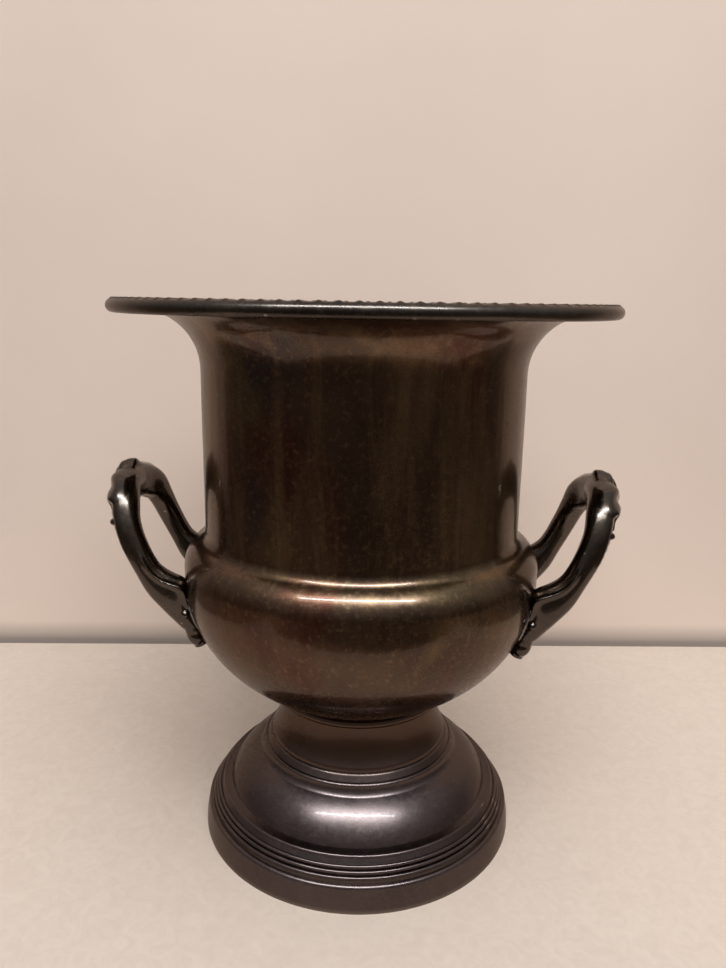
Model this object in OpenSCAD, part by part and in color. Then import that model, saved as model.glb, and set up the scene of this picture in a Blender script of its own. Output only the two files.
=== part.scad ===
// Two-handled champagne bucket on a pedestal foot, in millimetres.
// Z is up, and the origin is the centre of the foot's standing face.

/* [Overall] */
// Height from the standing face to the top of the rim's bead row
total_h = 259; // [257:0.5:262]
// Wall of the spun bowl
bowl_wall = 1.2; // [1:0.1:1.6]
// Wall of the spun foot
foot_wall = 1.3; // [1:0.1:1.6]

/* [Bowl] */
// Radius of the neck
neck_r = 74.3; // [72:0.1:76]
// Largest radius of the bulb
bulb_r = 84.5; // [83:0.1:87]
// Height where the bulb is widest
bulb_z = 131.2; // [129:0.1:133]
// Depth of the bulb's rounded lower half, as an ellipse's half height
bulb_depth = 67.4; // [65:0.1:70]
// Straight band at the bulb's widest place
bulb_band = 5.8; // [4:0.1:7]
// Radius of the rounded shoulder
shoulder_r = 14; // [12:0.5:15]
// Radius of the hollow where the shoulder meets the neck
neck_fillet_r = 6; // [4:0.5:8]
// Radius of the flat seat under the bowl
seat_r = 39.8; // [38:0.1:41]

/* [Rim] */
// Outer radius of the rim
rim_r = 112.5; // [111:0.1:114]
// Thickness of the rim's rounded edge
rim_edge = 5.6; // [5.4:0.1:6.6]
// Height of the bead row over the rim's edge
bead_rise = 0.7; // [0.5:0.1:1]
// Width of the moulding over the brim
moulding_w = 16.5; // [14:0.5:18]
// Wire inside the rim, across
rim_wire_d = 2.4; // [2:0.1:2.8]

/* [Handles] */
// Thickness of a leg across the loop
leg_w = 11; // [10:0.5:12]
// Half thickness of the crown from front to back
crown_t = 5.7; // [5:0.1:6]
// Half height of the crown
crown_h = 8.5; // [7:0.1:9]
// Thickness of the solder between a leg and the bulb
solder_t = 0.6; // [0.4:0.1:1]

/* [Foot] */
// Radius of the foot where it stands
foot_r = 78; // [77:0.1:80]
// Radius of the stem's top
stem_r = 39; // [38:0.1:39.5]
// Height of the stem's top
stem_z = 67.4; // [66:0.1:68]
// Wire inside the foot's lower edge, across
base_wire_d = 3; // [2.5:0.1:3.5]

/* [Fixing under the bowl] */
// Fixing stud, across
stud_d = 8; // [6:1:10]
// Washer, across
washer_d = 26; // [20:1:32]
// Nut, across its flats
nut_w = 13; // [12:1:16]

/* [Hidden] */
$fn = 96;
arc_steps = 12;      // pieces in each rounded stretch of an outline
metal = "#4a3a2e";
dark_metal = "#352a24";
hidden_metal = "#7d7568";

// Points on an arc about c, from angle a0 to angle a1
function arc(c, r, a0, a1, n = arc_steps) =
    [for (i = [0:n]) let (a = a0 + (a1 - a0) * i / n) [c[0] + r * cos(a), c[1] + r * sin(a)]];

// Points on an ellipse about c
function oval(c, a, b, a0, a1, n) =
    [for (i = [0:n]) let (t = a0 + (a1 - a0) * i / n) [c[0] + a * cos(t), c[1] + b * sin(t)]];

function reversed(list) = [for (i = [len(list) - 1:-1:0]) list[i]];

// ---- the bowl's outline, with every surface moved inwards by t ----
edge_z = total_h - bead_rise - rim_edge / 2;      // middle of the rim's rounded edge
brim_z = edge_z - 1.2;                            // underside of the brim's sheet
brim_end = rim_r - 5.5;                           // where the brim's sheet ends
flare_r = 26;                                     // radius of the curve between neck and brim
shoulder_z = bulb_z + bulb_band;
shoulder_c = [bulb_r - shoulder_r, shoulder_z];
fillet_x = neck_r + neck_fillet_r;
fillet_rise = sqrt(pow(shoulder_r + neck_fillet_r, 2) - pow(fillet_x - shoulder_c[0], 2));
fillet_c = [fillet_x, shoulder_z + fillet_rise];
fillet_a = atan2(fillet_rise, fillet_x - shoulder_c[0]);
seat_angle = acos(seat_r / bulb_r);
seat_z = bulb_z - bulb_depth * sin(seat_angle);   // flat seat under the bowl
lower_steps = 28;

function bulb_line(t) = concat(
    oval([0, bulb_z], bulb_r - t, bulb_depth - t, -seat_angle, 0, lower_steps),
    arc(shoulder_c, shoulder_r - t, 0, fillet_a));

function neck_line(t) = concat(
    arc(fillet_c, neck_fillet_r + t, 180 + fillet_a, 180, 8),
    arc([neck_r + flare_r, brim_z - flare_r], flare_r + t, 180, 90, 20),
    [[brim_end, brim_z + t]]);

module bowl() {
    color(metal)
    rotate_extrude()
    polygon(concat(
        [[0, seat_z]],
        bulb_line(0),
        neck_line(0),
        reversed(neck_line(bowl_wall)),
        reversed(bulb_line(bowl_wall)),
        [[0, oval([0, bulb_z], bulb_r - bowl_wall, bulb_depth - bowl_wall, -seat_angle, 0, 1)[0][1]]]));
}

// ---- the rim ----
wire_x = brim_end + rim_wire_d / 2;
wire_z = brim_z + bowl_wall / 2;
bead_x = rim_r - 3.2;                             // middle of the bead row
bead_r = 1.9;

module rim_outline() {
    edge_c = [rim_r - rim_edge / 2, edge_z];
    polygon(concat(
        [[rim_r - moulding_w, brim_z + bowl_wall]],
        [[rim_r - moulding_w + 0.8, brim_z + bowl_wall + 0.9]],
        arc([bead_x, total_h - bead_r], bead_r, 160, 10),
        arc(edge_c, rim_edge / 2, 44, -90, 16),
        [[brim_end - 4, edge_z - rim_edge / 2 + 0.4], [brim_end - 4.8, brim_z]]));
}

module rim_moulding() {
    color(metal)
    rotate_extrude()
    difference() {
        rim_outline();
        translate([0, brim_z])
        square([wire_x, bowl_wall]);
        translate([wire_x, wire_z])
        circle(rim_wire_d / 2);
    }
}

module rim_wire() {
    color(hidden_metal)
    rotate_extrude()
    translate([wire_x, wire_z])
    circle(rim_wire_d / 2);
}

// ---- the handles ----
// Half of the loop: out from the axis, sideways, height
half_path = [
    [111.2, 0, 171.2],
    [110.4, 10.5, 170.4],
    [108.4, 19.8, 166.2],
    [106.3, 25.2, 158.6],
    [102.8, 27.6, 149],
    [97.4, 28.1, 138],
    [91.6, 27.8, 129.5],
    [85.4, 26.8, 120.5],
    [79.2, 25.2, 110.5],
    [74.2, 23, 99]];
// Half width along the loop and half thickness towards the axis, at each point of half_path
half_size = [
    [crown_h, crown_t],
    [crown_h - 0.2, crown_t + 0.1],
    [crown_h - 1.2, crown_t + 0.5],
    [leg_w / 2 + 0.8, crown_t + 0.1],
    [leg_w / 2, crown_t],
    [leg_w / 2, crown_t - 0.1],
    [leg_w / 2 + 0.5, crown_t + 1.2],
    [leg_w / 2 + 0.7, crown_t + 0.2],
    [leg_w / 2 - 0.6, crown_t - 1.2],
    [leg_w / 2 - 1.6, 3.6]];
path_steps = 4;
sides = 16;

function mirrored(list) =
    concat([for (i = [len(list) - 1:-1:1]) [list[i][0], -list[i][1], list[i][2]]], list);
function doubled(list) = concat([for (i = [len(list) - 1:-1:1]) list[i]], list);

// Smooth curve through the points p
function blend4(a, b, c, d, t) =
    0.5 * (2 * b + (c - a) * t + (2 * a - 5 * b + 4 * c - d) * t * t + (3 * b - a - 3 * c + d) * t * t * t);
function smooth(p, n) = let (m = len(p) - 1) concat(
    [for (i = [0:m - 1], j = [0:n - 1])
        blend4(p[max(i - 1, 0)], p[i], p[i + 1], p[min(i + 2, m)], j / n)],
    [p[m]]);
function unit(v) = v / norm(v);
function along(p, i) = unit(p[min(i + 1, len(p) - 1)] - p[max(i - 1, 0)]);

// Tube of oval section along p; size holds its half width and half thickness, and out is the
// direction that the thickness is measured in
module swept(p, size, out) {
    rings = [for (i = [0:len(p) - 1])
        let (d = along(p, i), w = unit(cross(d, out)), o = cross(w, d))
        [for (k = [0:sides - 1]) let (a = 360 * k / sides)
            p[i] + w * size[i][0] * cos(a) + o * size[i][1] * sin(a)]];
    last = (len(p) - 1) * sides;
    polyhedron(
        points = [for (ring = rings, q = ring) q],
        faces = concat(
            [[for (k = [sides - 1:-1:0]) k]],
            [for (i = [0:len(p) - 2], k = [0:sides - 1]) let (n = (k + 1) % sides)
                [i * sides + k, i * sides + n, (i + 1) * sides + n, (i + 1) * sides + k]],
            [[for (k = [0:sides - 1]) last + k]]),
        convexity = 6);
}

// Everything inside the bulb's surface grown by t
module bulb_space(t) {
    top = bulb_line(-t)[len(bulb_line(-t)) - 1];
    rotate_extrude()
    polygon(concat([[0, bulb_line(-t)[0][1]]], bulb_line(-t), [[0, top[1]]]));
}

// Leaf on the crown's outer side, from its tip down
leaf_path = [[115.2, 0, 181.9], [116.6, 0, 177.5], [118.1, 0, 170.5], [117.6, 0, 164.5], [114.6, 0, 158.5]];
leaf_size = [[0.8, 0.8], [6.6, 2.7], [13.0, 3.2], [11.0, 3.0], [1.5, 1.4]];

// Web that runs from the inside of each leg to the bulb
web_path = [[97.5, 28.4, 136.0], [91.0, 27.6, 131.0], [82.0, 25.8, 128.6]];
web_size = [[3.6, 3.4], [4.6, 4.6], [5.2, 5.8]];

module web() {
    swept(smooth(web_path, path_steps), smooth(web_size, path_steps), [0, 0, 1]);
}

module handle() {
    difference() {
        union() {
            swept(smooth(mirrored(half_path), path_steps), smooth(doubled(half_size), path_steps), [1, 0, 0.25]);
            web();
            mirror([0, 1, 0])
            web();
            swept(smooth(leaf_path, path_steps), smooth(leaf_size, path_steps), [1, 0, 0]);
        }
        bulb_space(solder_t);
    }
}

module handle_left() {
    color(dark_metal)
    mirror([1, 0, 0])
    handle();
}

module handle_right() {
    color(dark_metal)
    handle();
}

// Solder under each leg: a thin oval skin on the bulb, in the middle of the leg's footprint
seat_mid = [27, 115];                           // sideways and height
seat_lean = 80;                                   // direction of its length
seat_half = [9, 3.2];
seat_rings = 4;
seat_spokes = 24;

// Point on the bulb's lower half, moved outwards by t
function on_bulb(y, z, t) =
    let (r = (bulb_r + t) * sqrt(1 - pow((z - bulb_z) / (bulb_depth + t), 2))) [sqrt(r * r - y * y), y, z];
function seat_point(share, turn, t) =
    let (u = share * seat_half[0] * cos(turn), v = share * seat_half[1] * sin(turn))
    on_bulb(
        seat_mid[0] + u * cos(seat_lean) - v * sin(seat_lean),
        seat_mid[1] + u * sin(seat_lean) + v * cos(seat_lean), t);
function seat_layer(t) = concat(
    [seat_point(0, 0, t)],
    [for (i = [1:seat_rings], k = [0:seat_spokes - 1]) seat_point(i / seat_rings, 360 * k / seat_spokes, t)]);
// Index in a layer of spoke k on ring i
function seat_at(i, k) = i == 0 ? 0 : 1 + (i - 1) * seat_spokes + k % seat_spokes;

module solder_seat() {
    layer = 1 + seat_rings * seat_spokes;
    top = [for (i = [0:seat_rings - 1], k = [0:seat_spokes - 1])
        [seat_at(i, k), seat_at(i, k + 1), seat_at(i + 1, k + 1), seat_at(i + 1, k)]];
    caps = [for (f = top) f[0] == f[1] ? [f[0], f[2], f[3]] : f];
    polyhedron(
        points = concat(seat_layer(0), seat_layer(solder_t)),
        faces = concat(
            [for (f = caps) reversed(f)],
            [for (f = caps) [for (q = f) q + layer]],
            [for (k = [0:seat_spokes - 1]) let (a = seat_at(seat_rings, k), b = seat_at(seat_rings, k + 1))
                [a, a + layer, b + layer, b]]),
        convexity = 4);
}

module solder_seats() {
    color(hidden_metal)
    for (turn = [0, 180])
        rotate(turn) {
            solder_seat();
            mirror([0, 1, 0])
            solder_seat();
        }
}

// ---- the collar between bowl and foot ----
collar_bead = (seat_z - stem_z) / 2;

module collar_ring() {
    color(dark_metal)
    rotate_extrude()
    polygon(concat(
        [[stud_d / 2, stem_z]],
        arc([seat_r + 0.9, stem_z + collar_bead], collar_bead, -90, 90),
        [[stud_d / 2, seat_z]]));
}

// ---- the foot ----
lip_r = 0.9;                                      // small beads between dome and skirt
bead_line = [[73.3, 14.2], [72.1, 16.2], [70.9, 18.1]];
dome_c = [36.4, 9.7];
dome_r = 31.4;

// Outline from the standing edge up to the stem's top
foot_line = concat(
    [[foot_r, 0], [foot_r - 0.3, 4.5]],
    arc([foot_r - 3.3, 10.6], 1.9, 10, 95, 6),
    [for (b = bead_line, q = arc(b, lip_r, -25, 125, 6)) q],
    arc([68.2, 21.2], 1.0, -20, 110, 6),
    arc(dome_c, dome_r, 24.5, 64, 16),
    [[49.2, 39.4]],
    arc([46.9, 41.6], 1.5, -10, 100, 6),
    arc([43.4, 44.2], 2.2, 30, 75, 4),
    arc([stem_r + 35, 66], 35, 211, 180, 10),
    [[stem_r, stem_z]]);

// The same outline moved inwards and simplified, because the beads are pressed from outside
foot_inside = [
    [foot_r - foot_wall, 0],
    [foot_r - foot_wall - 0.6, 8],
    [foot_r - foot_wall - 4, 10.4],
    [67.6, 17.4],
    [63.6, 21.6],
    [56.6, 31.4],
    [47.6, 38],
    [42.6, 43.2],
    [40.4, 50],
    [stem_r - foot_wall, 60],
    [stem_r - foot_wall, stem_z - foot_wall],
    [stud_d / 2, stem_z - foot_wall]];

module foot() {
    color(metal)
    rotate_extrude()
    polygon(concat(foot_line, [[stud_d / 2, stem_z]], reversed(foot_inside)));
}

module base_wire() {
    color(hidden_metal)
    rotate_extrude()
    translate([foot_r - foot_wall - 0.4 - base_wire_d / 2, base_wire_d / 2])
    circle(base_wire_d / 2);
}

// ---- the fixing under the bowl ----
washer_t = 1.6;
nut_t = 6.5;
washer_z = stem_z - foot_wall - washer_t;
stud_end = washer_z - nut_t - 4;

module centre_stud() {
    color(hidden_metal)
    translate([0, 0, stud_end])
    cylinder(d = stud_d, h = seat_z - stud_end);
}

module foot_washer() {
    color(hidden_metal)
    translate([0, 0, washer_z])
    difference() {
        cylinder(d = washer_d, h = washer_t);
        translate([0, 0, -1])
        cylinder(d = stud_d, h = washer_t + 2);
    }
}

module foot_nut() {
    color(hidden_metal)
    translate([0, 0, washer_z - nut_t])
    difference() {
        cylinder(d = nut_w / cos(30), h = nut_t, $fn = 6);
        translate([0, 0, -1])
        cylinder(d = stud_d, h = nut_t + 2);
    }
}

bowl();
rim_moulding();
rim_wire();
handle_left();
handle_right();
solder_seats();
collar_ring();
foot();
base_wire();
centre_stud();
foot_washer();
foot_nut();
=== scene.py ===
"""Looks of the two-handled champagne bucket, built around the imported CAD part.

Outlines and handle points are in millimetres and become metres when a mesh is made. The stage, the lights, the
camera and the heights inside materials are in metres.
"""

import math

import bpy
import bmesh
import numpy as np
from mathutils import Matrix, Vector


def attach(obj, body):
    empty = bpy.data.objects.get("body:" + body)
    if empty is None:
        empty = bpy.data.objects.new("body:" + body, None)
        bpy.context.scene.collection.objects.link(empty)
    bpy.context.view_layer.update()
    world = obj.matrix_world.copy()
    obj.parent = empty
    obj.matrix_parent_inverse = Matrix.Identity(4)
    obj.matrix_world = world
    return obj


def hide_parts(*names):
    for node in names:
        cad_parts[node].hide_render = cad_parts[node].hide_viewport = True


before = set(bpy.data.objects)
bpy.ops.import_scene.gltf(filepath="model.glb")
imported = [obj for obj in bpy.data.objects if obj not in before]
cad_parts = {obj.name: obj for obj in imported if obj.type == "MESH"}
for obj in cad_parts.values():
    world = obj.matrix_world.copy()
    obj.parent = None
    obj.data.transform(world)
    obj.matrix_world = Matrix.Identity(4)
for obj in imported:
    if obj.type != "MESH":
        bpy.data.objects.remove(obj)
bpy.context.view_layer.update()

MM = 0.001
SPIN = 384                      # segments round each spun piece
CREASE_ANGLE = 40               # degrees; edges sharper than this stay crisp
TINY = 1e-6


# ------------------------------------------------------------------ outlines
def oval(c, a, b, start, end, n):
    """Points on an oval about c with half-axes a and b, in n steps between two angles in degrees."""
    out = []
    for i in range(n + 1):
        t = math.radians(start + (end - start) * i / n)
        out.append((c[0] + a * math.cos(t), c[1] + b * math.sin(t)))
    return out


def arc(c, r, start, end, n):
    """The same on a circle of radius r."""
    return oval(c, r, r, start, end, n)


def spaced(points, step):
    """The same outline with no stretch longer than step."""
    out = [points[0]]
    for p, q in zip(points, points[1:]):
        n = max(1, int(math.ceil(math.dist(p, q) / step)))
        for i in range(1, n + 1):
            out.append((p[0] + (q[0] - p[0]) * i / n, p[1] + (q[1] - p[1]) * i / n))
    return out


TOTAL_H = 259.0
WALL = 1.2
NECK_R, BULB_R, BULB_Z, BULB_DEPTH, BULB_BAND = 74.3, 84.5, 131.2, 67.4, 5.8
SHOULDER_R, FILLET_R, SEAT_R = 14.0, 6.0, 39.8
RIM_R, RIM_EDGE, LOBE_RISE, MOULDING_W = 112.5, 5.6, 0.7, 16.5
FLARE_R = 26.0
EDGE_Z = TOTAL_H - LOBE_RISE - RIM_EDGE / 2
BRIM_Z = EDGE_Z - 1.2           # underside of the brim's sheet
BRIM_END = RIM_R - 5.5
SHOULDER_Z = BULB_Z + BULB_BAND
SHOULDER_X = BULB_R - SHOULDER_R
FILLET_X = NECK_R + FILLET_R
FILLET_RISE = math.sqrt((SHOULDER_R + FILLET_R) ** 2 - (FILLET_X - SHOULDER_X) ** 2)
FILLET_A = math.degrees(math.atan2(FILLET_RISE, FILLET_X - SHOULDER_X))
SEAT_A = math.degrees(math.acos(SEAT_R / BULB_R))
SEAT_Z = BULB_Z - BULB_DEPTH * math.sin(math.radians(SEAT_A))
STEM_R, STEM_Z, FOOT_R, FOOT_WALL = 39.0, 67.4, 78.0, 1.3
SHANK_R = 4                     # the centre stud's shank, which the holes in foot and collar fit


def bulb_line(t):
    """The bulb and shoulder from the seat up, t inside the outer surface."""
    return (oval((0, BULB_Z), BULB_R - t, BULB_DEPTH - t, -SEAT_A, 0, 44)
            + arc((SHOULDER_X, SHOULDER_Z), SHOULDER_R - t, 0, FILLET_A, 22))


def neck_line(t):
    """The fillet, neck, flare and brim, t inside the outer surface."""
    return (arc((FILLET_X, SHOULDER_Z + FILLET_RISE), FILLET_R + t, 180 + FILLET_A, 180, 12)
            + arc((NECK_R + FLARE_R, BRIM_Z - FLARE_R), FLARE_R + t, 180, 90, 26)
            + [(BRIM_END, BRIM_Z + t)])


# ------------------------------------------------------------------ mesh helpers
def mesh_object(name, verts, faces, smooth=True):
    mesh = bpy.data.meshes.new(name)
    mesh.from_pydata(verts, [], faces)
    mesh.update()
    if smooth:
        mesh.polygons.foreach_set("use_smooth", [True] * len(mesh.polygons))
    obj = bpy.data.objects.new(name, mesh)
    bpy.context.scene.collection.objects.link(obj)
    return obj


def crease(obj):
    """Smooth shading with a crisp edge where two faces meet at more than CREASE_ANGLE."""
    mesh = obj.data
    bm = bmesh.new()
    bm.from_mesh(mesh)
    for e in bm.edges:
        e.smooth = not (len(e.link_faces) == 2 and e.calc_face_angle(0) > math.radians(CREASE_ANGLE))
    bm.to_mesh(mesh)
    bm.free()


def spun(name, outline, shape=None, segments=SPIN):
    """Turns an outline (mm, going round the solid) about Z. shape(r, z, angle) may move a point a little."""
    pts = [p for i, p in enumerate(outline) if i == 0 or math.dist(p, outline[i - 1]) > TINY]
    verts, faces, rows = [], [], []
    for r, z in pts:
        if r < TINY:
            rows.append([len(verts)])
            verts.append((0.0, 0.0, z * MM))
            continue
        row = []
        for k in range(segments):
            a = 2 * math.pi * k / segments
            rr, zz = shape(r, z, a) if shape else (r, z)
            row.append(len(verts))
            verts.append((rr * math.cos(a) * MM, rr * math.sin(a) * MM, zz * MM))
        rows.append(row)
    pairs = list(zip(rows, rows[1:]))
    if len(rows[0]) > 1 and len(rows[-1]) > 1:
        pairs.append((rows[-1], rows[0]))
    for lo, hi in pairs:
        for k in range(segments):
            n = (k + 1) % segments
            if len(lo) == 1:
                faces.append((lo[0], hi[n], hi[k]))
            elif len(hi) == 1:
                faces.append((lo[k], lo[n], hi[0]))
            else:
                faces.append((lo[k], lo[n], hi[n], hi[k]))
    obj = mesh_object(name, verts, faces)
    crease(obj)
    return obj


# ------------------------------------------------------------------ materials
MIX_FACTOR, MIX_A, MIX_B, MIX_RESULT = 0, 6, 7, 2       # a colour mix node's sockets


class Nodes:
    """Small helper that keeps a material's node tree readable."""

    def __init__(self, name):
        self.material = bpy.data.materials.new(name)
        self.material.use_nodes = True
        self.tree = self.material.node_tree
        self.tree.nodes.clear()
        self.out = self.add("ShaderNodeOutputMaterial")
        self.bsdf = self.add("ShaderNodeBsdfPrincipled")
        self.link(self.bsdf, "BSDF", self.out, "Surface")
        self.coord = self.add("ShaderNodeTexCoord")

    def add(self, kind, **values):
        node = self.tree.nodes.new(kind)
        for key, value in values.items():
            setattr(node, key, value)
        return node

    def link(self, a, out, b, into):
        self.tree.links.new(a.outputs[out], b.inputs[into])

    def mapped(self, scale, offset=(0, 0, 0)):
        node = self.add("ShaderNodeMapping")
        node.inputs["Scale"].default_value = scale
        node.inputs["Location"].default_value = offset
        self.link(self.coord, "Object", node, "Vector")
        return node

    def noise(self, scale, detail, rough, stretch=(1, 1, 1), offset=(0, 0, 0), distort=0.0):
        node = self.add("ShaderNodeTexNoise")
        node.inputs["Scale"].default_value = scale
        node.inputs["Detail"].default_value = detail
        node.inputs["Roughness"].default_value = rough
        node.inputs["Distortion"].default_value = distort
        self.link(self.mapped(stretch, offset), "Vector", node, "Vector")
        return node

    def ramp(self, source, out, stops):
        node = self.add("ShaderNodeValToRGB")
        while len(node.color_ramp.elements) < len(stops):
            node.color_ramp.elements.new(0.5)
        for e, (at, colour) in zip(node.color_ramp.elements, stops):
            e.position = at
            e.color = (*colour, 1) if isinstance(colour, tuple) else (colour, colour, colour, 1)
        self.link(source, out, node, "Fac")
        return node

    def mix(self, factor, a, b, blend="MIX"):
        """Mixes colours; factor, a and b are (node, output), a number or a colour."""
        node = self.add("ShaderNodeMix", data_type="RGBA", blend_type=blend)
        for index, value in ((MIX_FACTOR, factor), (MIX_A, a), (MIX_B, b)):
            socket = node.inputs[index]
            if isinstance(value, tuple) and isinstance(value[0], bpy.types.Node):
                self.tree.links.new(value[0].outputs[value[1]], socket)
            elif isinstance(value, tuple):
                socket.default_value = (*value, 1)
            else:
                socket.default_value = value
        return node

    def number(self, source, out, lo, hi, a, b):
        """Maps a value, such as a texture's or a height, from a..b to lo..hi."""
        node = self.add("ShaderNodeMapRange")
        node.inputs["From Min"].default_value = a
        node.inputs["From Max"].default_value = b
        node.inputs["To Min"].default_value = lo
        node.inputs["To Max"].default_value = hi
        self.link(source, out, node, "Value")
        return node

    def math(self, operation, a, b):
        node = self.add("ShaderNodeMath", operation=operation)
        for socket, value in zip(node.inputs, (a, b)):
            if isinstance(value, tuple):
                self.tree.links.new(value[0].outputs[value[1]], socket)
            else:
                socket.default_value = value
        return node

    def bump(self, height, out, strength, distance, under=None):
        node = self.add("ShaderNodeBump")
        node.inputs["Strength"].default_value = strength
        node.inputs["Distance"].default_value = distance
        self.link(height, out, node, "Height")
        if under:
            self.link(under, "Normal", node, "Normal")
        return node


SPECULAR_TINT = (0.72, 0.67, 0.63, 1)
COAT_ROUGHNESS = 0.07
CLOUD_SCALE, STREAK_SCALE, GRAIN_SCALE, PIT_SCALE = 14, 75, 420, 1500
GRAIN_DEPTH, PIT_DEPTH = 0.00008, 0.00004
CALM_Z, FULL_Z = 0.128, 0.165                           # heights between which streaks grow to full strength


def tarnish(name, deep, mid, warm, rough, streaks, speckle, worn=(0.30, 0.25, 0.20), bump=0.25, seed=0.0,
            coat=0.35, upper=None, bloom=(), calm=1.0):
    """Tarnished silver plate: dark patina, lengthways streaks, fine speckle, wear on raised edges.

    bloom lists (tint, offset, scale) of large patches, upper is (tint, from, to) for a part tinted by height, and
    calm is the streaks' strength below CALM_Z.
    """
    m = Nodes(name)
    m.bsdf.inputs["Metallic"].default_value = 1.0
    m.bsdf.inputs["Specular Tint"].default_value = SPECULAR_TINT
    m.bsdf.inputs["Coat Weight"].default_value = coat
    m.bsdf.inputs["Coat Roughness"].default_value = COAT_ROUGHNESS
    cloud = m.noise(CLOUD_SCALE, 5, 0.6, offset=(seed, 0, 0))
    streak = m.noise(STREAK_SCALE, 6, 0.66, stretch=(1, 1, 0.10), offset=(0, seed, 0), distort=0.5)
    fine = m.noise(PIT_SCALE, 3, 0.6, offset=(seed, seed, 0))
    grain = m.noise(GRAIN_SCALE, 5, 0.7, offset=(0, seed, seed))
    base = m.mix((m.ramp(cloud, "Fac", [(0.36, 0.0), (0.66, 1.0)]), "Color"), deep, mid)
    for tint, at, scale in bloom:
        patch = m.noise(scale, 4, 0.55, stretch=(1, 1, 0.45), offset=(at, seed, at), distort=0.6)
        amount = m.ramp(patch, "Fac", [(0.51, 0.0), (0.62, 0.85)])
        base = m.mix((amount, "Color"), (base, MIX_RESULT), tint)
    lines = m.ramp(streak, "Fac", [(0.47, 0.0), (0.66, streaks)])
    place = m.add("ShaderNodeSeparateXYZ")
    m.link(m.coord, "Object", place, "Vector")
    drawn = m.number(place, "Z", calm, 1.0, CALM_Z, FULL_Z)
    share = m.math("MULTIPLY", (lines, "Color"), (drawn, "Result"))
    base = m.mix((share, "Value"), (base, MIX_RESULT), warm)
    dots = m.ramp(grain, "Fac", [(0.54, 0.0), (0.70, speckle)])
    base = m.mix((dots, "Color"), (base, MIX_RESULT), warm)
    pits = m.ramp(fine, "Fac", [(0.30, 0.55), (0.46, 0.0)])
    base = m.mix((pits, "Color"), (base, MIX_RESULT), tuple(0.45 * c for c in deep))
    geometry = m.add("ShaderNodeNewGeometry")
    edges = m.ramp(geometry, "Pointiness", [(0.53, 0.0), (0.60, 0.55)])
    base = m.mix((edges, "Color"), (base, MIX_RESULT), worn)
    if upper:
        band = m.number(place, "Z", 0.0, 0.9, upper[1], upper[2])
        base = m.mix((band, "Result"), (base, MIX_RESULT), upper[0])
    m.link(base, MIX_RESULT, m.bsdf, "Base Color")
    broad = m.number(cloud, "Fac", rough[0], rough[1], 0.3, 0.7)
    local = m.number(grain, "Fac", -0.03, 0.06, 0.4, 0.7)
    total = m.math("ADD", (broad, "Result"), (local, "Result"))
    m.link(total, "Value", m.bsdf, "Roughness")
    pitted = m.bump(fine, "Fac", bump * 0.5, PIT_DEPTH)
    grainy = m.bump(grain, "Fac", bump, GRAIN_DEPTH, pitted)
    m.link(grainy, "Normal", m.bsdf, "Normal")
    return m.material


bowl_metal = tarnish("bowl_metal", (0.050, 0.026, 0.016), (0.088, 0.053, 0.031), (0.19, 0.115, 0.058),
                     rough=(0.24, 0.36), streaks=0.6, speckle=0.6, coat=0.3, calm=0.25,
                     bloom=(((0.044, 0.034, 0.031), 47.0, 11), ((0.125, 0.080, 0.036), 83.0, 17),
                            ((0.066, 0.020, 0.012), 21.0, 13)))
rim_metal = tarnish("rim_metal", (0.050, 0.038, 0.031), (0.080, 0.063, 0.051), (0.13, 0.10, 0.075),
                    rough=(0.25, 0.36), streaks=0.2, speckle=0.4, seed=3.0, coat=0.1)
handle_metal = tarnish("handle_metal", (0.042, 0.029, 0.022), (0.068, 0.049, 0.037), (0.12, 0.08, 0.05),
                       rough=(0.18, 0.28), worn=(0.50, 0.43, 0.35), streaks=0.2, speckle=0.3, seed=5.0,
                       bump=0.4, coat=0.45)
foot_metal = tarnish("foot_metal", (0.068, 0.048, 0.044), (0.092, 0.066, 0.060), (0.12, 0.085, 0.068),
                     rough=(0.27, 0.36), streaks=0.15, speckle=0.45, seed=8.0, coat=0.12,
                     upper=((0.070, 0.040, 0.026), 0.040, 0.052))
solder_metal = tarnish("solder", (0.16, 0.15, 0.14), (0.24, 0.23, 0.22), (0.30, 0.27, 0.22),
                       rough=(0.42, 0.6), streaks=0.1, speckle=0.6, seed=11.0, bump=0.6)
hidden_metal = tarnish("hidden_metal", (0.20, 0.18, 0.15), (0.30, 0.27, 0.22), (0.24, 0.17, 0.10),
                       rough=(0.35, 0.5), streaks=0.2, speckle=0.5, seed=13.0, bump=0.4)
fixing_metal = tarnish("fixing_metal", (0.30, 0.285, 0.26), (0.42, 0.40, 0.37), (0.26, 0.20, 0.14),
                       rough=(0.3, 0.42), streaks=0.1, speckle=0.5, seed=17.0, bump=0.4)


def paint(obj, material):
    obj.data.materials.clear()
    obj.data.materials.append(material)


def dress(obj, material):
    paint(obj, material)


# ------------------------------------------------------------------ spun pieces
STILL_R = 20                    # no wobble nearer the axis than this


def wobble(r, z, a):
    """Slight out-of-round and shallow waves of spun sheet."""
    if r < STILL_R:
        return r, z
    d = 0.05 * math.sin(2 * a + 0.7) + 0.03 * math.sin(5 * a + z * 0.05) + 0.02 * math.sin(9 * a - z * 0.11)
    return r + d, z


floor_z = bulb_line(WALL)[0][1]
bowl_outline = spaced([(0, SEAT_Z)] + bulb_line(0) + neck_line(0)
                      + neck_line(WALL)[::-1] + bulb_line(WALL)[::-1] + [(0, floor_z)], 6)
bowl = spun("bowl_shell", bowl_outline, wobble)
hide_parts("bowl")
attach(bowl, "root")
dress(bowl, bowl_metal)

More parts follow.
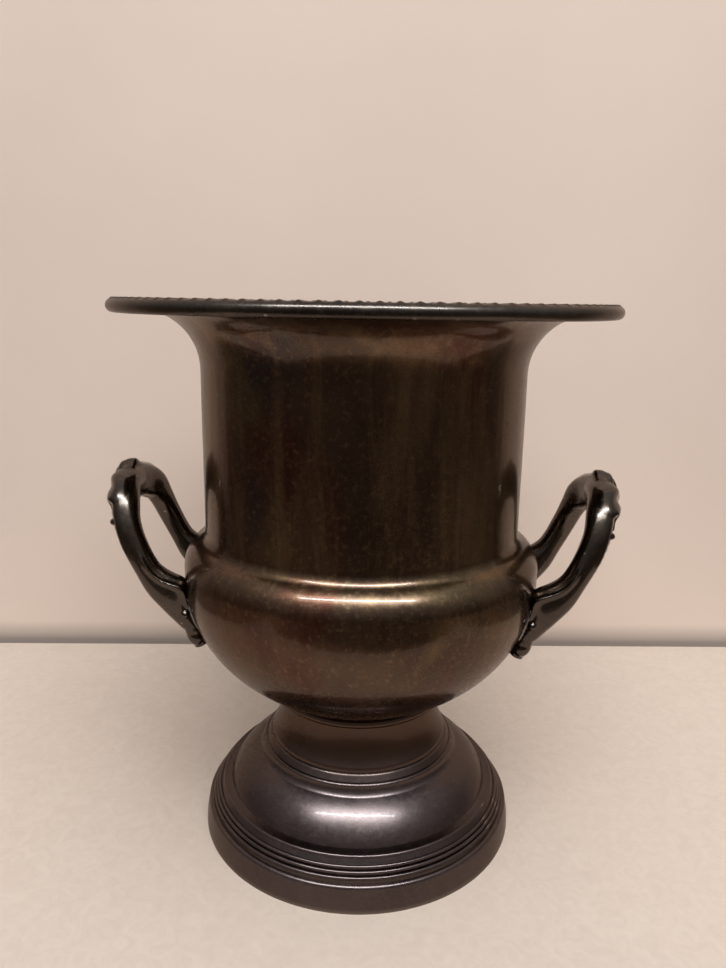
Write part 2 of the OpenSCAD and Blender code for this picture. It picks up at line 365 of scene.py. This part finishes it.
LOBES, LOBE_STEPS = 106, 12
edge_c = (RIM_R - RIM_EDGE / 2, EDGE_Z)
top_edge = EDGE_Z + RIM_EDGE / 2
inner_r, brim_top = RIM_R - MOULDING_W, BRIM_Z + WALL
rim_outline = spaced(
    [(inner_r, brim_top + 0.02), (inner_r + 0.3, brim_top + 0.6), (inner_r + 1.0, brim_top + 0.95),
     (inner_r + 2.0, brim_top + 0.75), (inner_r + 3.0, brim_top + 0.8)]
    + arc((RIM_R - 7.6, EDGE_Z - 1.2), 3.6, 128, 96, 6)
    + [(RIM_R - 3.2 - 1.6, top_edge - 0.25)]
    + arc(edge_c, RIM_EDGE / 2, 88, -90, 30)
    + [(BRIM_END - 4, EDGE_Z - RIM_EDGE / 2 + 0.4), (BRIM_END - 4.6, EDGE_Z - RIM_EDGE / 2 + 0.9),
       (BRIM_END - 4.8, BRIM_Z - 0.02)], 0.9)


def lobed(r, z, a):
    """Row of small pointed lobes over the rim's edge."""
    u = (a * LOBES / (2 * math.pi) + 0.5) % 1.0 - 0.5
    inner, outer = inner_r + 3.0, RIM_R - 1.3
    if r < inner or r > outer or z < EDGE_Z + 0.4:
        return r, z
    along = (r - inner) / (outer - inner)
    width = 0.19 + 0.13 * math.sin(math.pi * min(1.0, along * 1.02))
    lobe = max(0.0, 1.0 - abs(u) / width)
    lobe = lobe * (1.6 - 0.6 * lobe)
    fade = 1.0 if along < 0.8 else max(0.0, 1 - ((along - 0.8) / 0.2) ** 2)
    rise = LOBE_RISE * min(1.0, along * 3.0) * fade
    return r, min(z + rise * lobe, TOTAL_H)


rim = spun("rim_moulding_lobed", rim_outline, lobed, segments=LOBES * LOBE_STEPS)
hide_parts("rim_moulding")
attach(rim, "root")
dress(rim, rim_metal)

collar_bead = (SEAT_Z - STEM_Z) / 2
collar_outline = spaced(
    [(SHANK_R, STEM_Z + 0.02)]
    + arc((SEAT_R + 0.9, STEM_Z + collar_bead), collar_bead - 0.02, -90, 90, 20)
    + [(SHANK_R, SEAT_Z - 0.02)], 5)
collar = spun("collar_turned", collar_outline, wobble)
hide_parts("collar_ring")
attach(collar, "root")
dress(collar, foot_metal)

foot_outside = (
    [(FOOT_R, 0), (FOOT_R - 0.3, 4.5)]
    + arc((FOOT_R - 3.3, 10.6), 1.9, 10, 95, 12)
    + [q for b in ((73.3, 14.2), (72.1, 16.2), (70.9, 18.1)) for q in arc(b, 0.9, -25, 125, 12)]
    + arc((68.2, 21.2), 1.0, -20, 110, 10)
    + arc((36.4, 9.7), 31.4, 24.5, 64, 30)
    + [(49.2, 39.4)]
    + arc((46.9, 41.6), 1.5, -10, 100, 10)
    + arc((43.4, 44.2), 2.2, 30, 75, 6)
    + arc((STEM_R + 35, 66), 35, 211, 180, 20)
    + [(STEM_R, STEM_Z), (SHANK_R, STEM_Z)])
foot_inside = [(SHANK_R, STEM_Z - FOOT_WALL), (STEM_R - FOOT_WALL - 1, STEM_Z - FOOT_WALL),
               (STEM_R - FOOT_WALL, STEM_Z - FOOT_WALL - 1), (STEM_R - FOOT_WALL, 60), (40.4, 50), (42.6, 43.2),
               (47.6, 38), (56.6, 31.4), (63.6, 21.6), (67.6, 17.4), (FOOT_R - FOOT_WALL - 4, 10.4),
               (FOOT_R - FOOT_WALL - 0.6, 8), (FOOT_R - FOOT_WALL, 0.3), (FOOT_R - 0.65, 0)]
foot = spun("foot_spun", spaced(foot_outside + foot_inside, 4))
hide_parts("foot")
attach(foot, "root")
dress(foot, foot_metal)

# ------------------------------------------------------------------ handles
# Half a handle, from the middle of the crown to the end of one leg: the section's centre, and its two half sizes.
HALF_PATH = [(111.2, 0, 171.2), (110.4, 10.5, 170.4), (108.4, 19.8, 166.2), (106.3, 25.2, 158.6),
             (102.8, 27.6, 149.0), (97.4, 28.1, 138.0), (91.6, 27.8, 129.5), (85.4, 26.8, 120.5),
             (79.2, 25.2, 110.5), (74.2, 23.0, 99.0)]
HALF_SIZE = [(8.5, 5.7), (8.3, 5.8), (7.3, 6.2), (6.3, 5.8), (5.5, 5.7), (5.5, 5.6), (6.0, 6.9), (6.2, 5.9),
             (4.9, 4.5), (3.9, 3.6)]
PATH_STEPS, SECTION_SIDES = 26, 112
CROWN_Z, LEG_Z = 166, 150       # the crown's strap turns into the leg between these heights
RIDGE_H, RIDGE_W = 1.5, 0.17    # ridge on a leg's side face: height in mm, width in radians
WAIST_H, WAIST_Z = 0.7, 109.0
WEB_H, WEB_Z = 5.0, 125.0       # web between leg and bulb
LEAF_LEN, LEAF_END = 28.0, 30   # the leaf's half length, and how far from the crown's middle it is looked for
LEAF_H, LEAF_LOBES, LEAF_VEINS = 2.8, 9, 13
BEADING = 2.2                   # how fast the fine beading along a leg's outer edge repeats, radians per mm
TIP, TIP_RADII = (115.6, 0, 176.0), (3.0, 5.0, 5.2)
LEG_BLOBS = (((112.6, 26.0, 158.6), (1.5, 1.7, 1.5), 0.0),      # bead at the crown's corner
             ((79.4, 30.8, 116.4), (1.8, 1.7, 1.9), 0.0),       # bead low on the leg
             ((76.6, 24.4, 103.6), (4.2, 4.6, 5.6), 0.5))       # blunt lump that ends the leg
VOXEL, QUICK_VOXEL = 0.36, 0.55
CLEAR_GAP, SUNK_GAP = 0.06, 0.6  # gaps kept to the bulb, by how deep a point would have been inside it


def smooth_path(points, n):
    """Catmull-Rom curve through the points."""
    p = np.array(points, float)
    m = len(p) - 1
    out = []
    for i in range(m):
        a, b, c, d = p[max(i - 1, 0)], p[i], p[i + 1], p[min(i + 2, m)]
        for j in range(n):
            t = j / n
            out.append(0.5 * (2 * b + (c - a) * t + (2 * a - 5 * b + 4 * c - d) * t * t
                              + (3 * b - a - 3 * c + d) * t ** 3))
    out.append(p[m])
    return np.array(out)


def hump(x, at, width):
    """A smooth bump of height 1."""
    return math.exp(-((x - at) / width) ** 2)


def ramped(x, a, b):
    """Smooth step from 0 at a to 1 at b; a may be the larger."""
    t = min(1.0, max(0.0, (x - a) / (b - a)))
    return t * t * (3 - 2 * t)


def leaf_relief(s, up, out):
    """Height of the leaf that wraps the crown's outer side: s along the crown, up and out round its section."""
    x, y = s / LEAF_LEN, (up + 1.0) / 2.0
    rho = (x ** 4 + (0.82 * y) ** 4) ** 0.25
    theta = math.atan2(x, 0.9 * y)
    edge = 0.93 + 0.09 * math.cos(LEAF_LOBES * theta) + 0.05 * math.exp(-(theta / 0.2) ** 2)
    inside = ramped(edge - rho, 0.0, 0.12)
    reach = ramped(out, -0.14, 0.10) if up > 0 else ramped(out, 0.02, 0.3)
    veins = 0.75 * math.cos(LEAF_VEINS * theta) * ramped(rho, 0.15, 0.4) + 0.6 * hump(theta, 0, 0.10)
    curl = 0.6 * ramped(rho, 0.7, 0.92)
    return inside * reach * (LEAF_H - 1.4 * ramped(abs(s), 8, 24) + veins + curl)


def leg_sweep(bm):
    """The strap of the crown with its leaf, both legs with the ridge on their side faces, and the web."""
    half = smooth_path(HALF_PATH, PATH_STEPS)
    size = smooth_path(HALF_SIZE, PATH_STEPS)
    path = np.concatenate([(half * (1, -1, 1))[:0:-1], half])
    size = np.concatenate([size[:0:-1], size])
    count = len(path)
    middle = count // 2
    steps = np.linalg.norm(np.diff(path, axis=0), axis=1)
    travel = np.concatenate([[0], np.cumsum(steps)])
    travel -= travel[middle]
    rows = []
    for i in range(count):
        d = path[min(i + 1, count - 1)] - path[max(i - 1, 0)]
        d /= np.linalg.norm(d)
        w = np.cross(d, (1, 0, 0.25))
        w /= np.linalg.norm(w)
        o = np.cross(w, d)
        z = path[i][2]
        leg = ramped(z, CROWN_Z, LEG_Z)             # 0 on the crown, 1 down the leg
        away = 1 if w[1] * path[i][1] > 0 else -1   # which half of the section faces away from the loop
        ridge_at = math.radians(18 + 52 * ramped(z, 140, 113))
        ridge = RIDGE_H * ramped(z, 148, 136) * ramped(z, 110, 115)
        waist = WAIST_H * hump(z, WAIST_Z, 1.5)
        web = WEB_H * hump(z, WEB_Z, 5.0)
        power = 0.80 + 0.12 * leg
        row = []
        for k in range(SECTION_SIDES):
            a = 2 * math.pi * k / SECTION_SIDES
            ca, sa = math.cos(a), math.sin(a)
            cw = math.copysign(abs(ca) ** power, ca) * (size[i][0] - 0.5 * waist)
            so = math.copysign(abs(sa) ** power, sa) * (size[i][1] + (web if sa < 0 else -waist))
            if leg > 0 and ca * away > -0.2:
                crest = ridge * hump(math.atan2(-sa, ca * away), ridge_at, RIDGE_W)
                cw += away * crest * math.cos(ridge_at)
                so -= crest * math.sin(ridge_at)
            if sa > 0.5 and leg > 0:
                beads = 0.5 + 0.5 * math.cos(z * BEADING)
                fade = ramped(z, 164, 160) * ramped(z, 130, 140)
                so += 0.5 * hump(ca, 0, 0.2) * fade * (0.5 + 0.5 * beads)
            push = leaf_relief(travel[i], -ca, sa) if abs(travel[i]) < LEAF_END else 0.0
            rise = 0.28 + 0.5 * hump(travel[i], 0, 5) if ca < 0 else 0.3
            lift = push * (0.35 * sa + 0.65 * max(sa, 0.0))
            row.append(bm.verts.new(path[i] + w * (cw + push * ca * rise) + o * (so + lift)))
        rows.append(row)
    for lo, hi in zip(rows, rows[1:]):
        for k in range(SECTION_SIDES):
            n = (k + 1) % SECTION_SIDES
            bm.faces.new((lo[k], lo[n], hi[n], hi[k]))
    bm.faces.new(rows[0][::-1])
    bm.faces.new(rows[-1])


def blob(bm, centre, radii, squash=1.0, tilt=0.0, steps=18):
    """Rounded bead about centre; squash over 1 makes its upper end pointed."""
    rows = []
    spin = Matrix.Rotation(tilt, 3, "Y")
    for i in range(1, steps):
        lat = math.pi * (i / steps - 0.5)
        row = []
        for k in range(steps * 2):
            a = 2 * math.pi * k / (steps * 2)
            v = Vector((math.cos(lat) * math.cos(a), math.cos(lat) * math.sin(a), math.sin(lat)))
            if v.z > 0:
                v.z *= squash
                v.x *= (1 - 0.35 * (squash - 1) * v.z)
                v.y *= (1 - 0.35 * (squash - 1) * v.z)
            v = spin @ Vector((v.x * radii[0], v.y * radii[1], v.z * radii[2]))
            row.append(bm.verts.new(Vector(centre) + v))
        rows.append(row)
    low = bm.verts.new(Vector(centre) - spin @ Vector((0, 0, radii[2])))
    top = bm.verts.new(Vector(centre) + spin @ Vector((0, 0, radii[2] * squash)))
    n = len(rows[0])
    for lo, hi in zip(rows, rows[1:]):
        for k in range(n):
            bm.faces.new((lo[k], lo[(k + 1) % n], hi[(k + 1) % n], hi[k]))
    for k in range(n):
        bm.faces.new((low, rows[0][(k + 1) % n], rows[0][k]))
        bm.faces.new((top, rows[-1][k], rows[-1][(k + 1) % n]))


def bulb_push(p, gap):
    """Moves a point that lies inside the bulb grown by gap out to its surface."""
    r = math.hypot(p.x, p.y)
    if p.z <= BULB_Z:
        a, b, cz = BULB_R + gap, BULB_DEPTH + gap, BULB_Z
        u = math.hypot(r / a, (p.z - cz) / b)
        if 0 < u < 1:
            return Vector((p.x / u, p.y / u, cz + (p.z - cz) / u))
        return p
    cr, cz = SHOULDER_X, SHOULDER_Z
    if p.z <= cz:
        if r < BULB_R + gap:
            return Vector((p.x * (BULB_R + gap) / r, p.y * (BULB_R + gap) / r, p.z))
        return p
    d = math.hypot(max(r - cr, 0.0), p.z - cz)
    if r > cr and d < SHOULDER_R + gap:
        k = (SHOULDER_R + gap) / max(d, TINY)
        nr, nz = cr + (r - cr) * k, cz + (p.z - cz) * k
        return Vector((p.x * nr / r, p.y * nr / r, nz))
    return p


def build_handle():
    """One handle, for the +X side, in millimetres turned to metres at the end."""
    bm = bmesh.new()
    leg_sweep(bm)
    blob(bm, TIP, TIP_RADII, squash=1.14)
    for side in (1, -1):
        for (x, y, z), radii, tilt in LEG_BLOBS:
            blob(bm, (x, side * y, z), radii, tilt=tilt)
    bmesh.ops.recalc_face_normals(bm, faces=bm.faces)
    mesh = bpy.data.meshes.new("handle_build")
    bm.to_mesh(mesh)
    bm.free()
    obj = bpy.data.objects.new("handle_build", mesh)
    bpy.context.scene.collection.objects.link(obj)
    remesh = obj.modifiers.new("remesh", "REMESH")
    remesh.mode = "VOXEL"
    remesh.voxel_size = VOXEL
    soft = obj.modifiers.new("soft", "SMOOTH")
    soft.factor = 0.5
    soft.iterations = 3
    depsgraph = bpy.context.evaluated_depsgraph_get()
    final = bpy.data.meshes.new_from_object(obj.evaluated_get(depsgraph))
    bpy.data.objects.remove(obj)
    for v in final.vertices:
        depth = (bulb_push(v.co, SUNK_GAP) - v.co).length
        v.co = bulb_push(v.co, CLEAR_GAP + SUNK_GAP * ramped(depth, 0.7, 1.6)) * MM
    return final


def place_handle(name, node, mesh, mirror):
    """Puts the handle in for its CAD node; mirror makes the one on the -X side."""
    if mirror:
        mesh = mesh.copy()
        mesh.transform(Matrix.Scale(-1, 4, (1, 0, 0)))
        mesh.flip_normals()
    mesh.polygons.foreach_set("use_smooth", [True] * len(mesh.polygons))
    obj = bpy.data.objects.new(name, mesh)
    bpy.context.scene.collection.objects.link(obj)
    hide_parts(node)
    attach(obj, "root")
    dress(obj, handle_metal)


handle_mesh = build_handle()
place_handle("handle_cast_left", "handle_left", handle_mesh, True)
place_handle("handle_cast_right", "handle_right", handle_mesh, False)

for node, material in (("rim_wire", hidden_metal), ("base_wire", hidden_metal), ("solder_seats", solder_metal),
                       ("centre_stud", fixing_metal), ("foot_washer", fixing_metal), ("foot_nut", fixing_metal)):
    paint(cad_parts[node], material)

# ------------------------------------------------------------------ stage
TABLE_BACK = 0.190
TABLE_FRONT = -0.245
TABLE_SIDE = 0.33
WALL_Y, WALL_SIDE, WALL_LOW, WALL_TOP = TABLE_BACK + 0.006, 0.75, -0.03, 1.1
STAGE_TURN = math.radians(4.0)


def panel(name, corners):
    """A flat sheet of the stage."""
    obj = mesh_object(name, corners, [tuple(range(len(corners)))], smooth=False)
    obj.data.transform(Matrix.Rotation(STAGE_TURN, 4, "Z"))
    return obj


floor = panel("stage_floor", [(-TABLE_SIDE, TABLE_FRONT, 0), (TABLE_SIDE, TABLE_FRONT, 0),
                              (TABLE_SIDE, TABLE_BACK, 0), (-TABLE_SIDE, TABLE_BACK, 0)])
wall = panel("stage_wall", [(-WALL_SIDE, WALL_Y, WALL_LOW), (WALL_SIDE, WALL_Y, WALL_LOW),
                            (WALL_SIDE, WALL_Y, WALL_TOP), (-WALL_SIDE, WALL_Y, WALL_TOP)])


def one_sided(m):
    """Seen from its front only, so that the stage doesn't hide the back or the underside."""
    facing = m.add("ShaderNodeNewGeometry")
    clear = m.add("ShaderNodeBsdfTransparent")
    choose = m.add("ShaderNodeMixShader")
    m.link(facing, "Backfacing", choose, "Fac")
    m.link(m.bsdf, "BSDF", choose, 1)
    m.link(clear, "BSDF", choose, 2)
    m.link(choose, "Shader", m.out, "Surface")


table = Nodes("stage_floor_paint")
crackle = table.noise(110, 6, 0.66, distort=1.6)
table_colour = table.ramp(crackle, "Fac", [(0.35, (0.62, 0.535, 0.455)), (0.65, (0.67, 0.585, 0.50))])
table.link(table_colour, "Color", table.bsdf, "Base Color")
table.bsdf.inputs["Roughness"].default_value = 0.6
one_sided(table)
floor.data.materials.append(table.material)

plaster = Nodes("stage_wall_paint")
mottle = plaster.noise(6, 4, 0.5)
wall_colour = plaster.ramp(mottle, "Fac", [(0.3, (0.79, 0.665, 0.57)), (0.7, (0.83, 0.705, 0.61))])
wall_place = plaster.add("ShaderNodeSeparateXYZ")
plaster.link(plaster.coord, "Object", wall_place, "Vector")
painted_base_shade = plaster.number(wall_place, "Z", 0.52, 1.0, 0.001, 0.016)       # painted shade: a darker line along the wall's base, where the wall meets the table
wall_mix = plaster.mix(1.0, (wall_colour, "Color"), (painted_base_shade, "Result"), "MULTIPLY")
plaster.link(wall_mix, MIX_RESULT, plaster.bsdf, "Base Color")
plaster.bsdf.inputs["Roughness"].default_value = 0.8
one_sided(plaster)
wall.data.materials.append(plaster.material)

# ------------------------------------------------------------------ light and camera
SKY_LOW, SKY_HIGH = (0.13, 0.105, 0.085, 1), (0.60, 0.62, 0.66, 1)
world = bpy.data.worlds.new("room")
world.use_nodes = True
sky = world.node_tree
back = sky.nodes["Background"]
direction = sky.nodes.new("ShaderNodeTexCoord")
split = sky.nodes.new("ShaderNodeSeparateXYZ")
shade = sky.nodes.new("ShaderNodeValToRGB")
shade.color_ramp.elements[0].position = 0.45
shade.color_ramp.elements[0].color = SKY_LOW
shade.color_ramp.elements[1].position = 0.95
shade.color_ramp.elements[1].color = SKY_HIGH
lift = sky.nodes.new("ShaderNodeMapRange")
lift.inputs["From Min"].default_value = -1.0
sky.links.new(direction.outputs["Generated"], split.inputs[0])
sky.links.new(split.outputs["Z"], lift.inputs["Value"])
sky.links.new(lift.outputs["Result"], shade.inputs["Fac"])
sky.links.new(shade.outputs["Color"], back.inputs["Color"])
back.inputs["Strength"].default_value = 1.0
bpy.context.scene.world = world


def area(name, place, aim, size, power, colour, glossy=True):
    """A glossy light shows only in reflections; the others light only diffuse surfaces."""
    light = bpy.data.lights.new(name, "AREA")
    light.shape = "RECTANGLE"
    light.size, light.size_y = size
    light.energy = power
    light.color = colour
    obj = bpy.data.objects.new(name, light)
    bpy.context.scene.collection.objects.link(obj)
    obj.location = place
    obj.rotation_euler = (Vector(aim) - Vector(place)).to_track_quat("-Z", "Y").to_euler()
    obj.visible_glossy = glossy
    obj.visible_diffuse = not glossy


area("strip_light", (0.0, -0.80, 1.42), (0, 0, 0.12), (1.6, 0.09), 40.0, (0.80, 0.92, 1.0))
area("window_glow", (0.0, -0.80, 1.40), (0, 0, 0.12), (1.7, 0.55), 15.0, (0.74, 0.88, 1.0))
area("soft_light", (0.22, -0.75, 1.6), (0.06, 0.12, 0.14), (1.4, 1.2), 27.5, (1, 0.94, 0.915), glossy=False)

LENS_MM = 28.4876033            # on a 36 mm sensor, along the picture's long side
TILT, ROLL, TURN = 13.4, 0.93, 2.6                      # degrees: down, about the line of sight, about Z
DISTANCE, CAM_Z, CAM_X = 0.3576, 0.2585, 0.00032
cam_data = bpy.data.cameras.new("camera")
cam_data.sensor_width = 36.0
cam_data.lens = LENS_MM
cam_data.clip_start = 0.01
camera = bpy.data.objects.new("camera", cam_data)
bpy.context.scene.collection.objects.link(camera)
turn = Matrix.Rotation(math.radians(TURN), 4, "Z")
camera.matrix_world = (turn @ Matrix.Translation((CAM_X, -DISTANCE, CAM_Z))
                       @ Matrix.Rotation(math.radians(90 - TILT), 4, "X")
                       @ Matrix.Rotation(math.radians(ROLL), 4, "Z"))
bpy.context.scene.camera = camera
bpy.context.scene.view_settings.view_transform = "Standard"
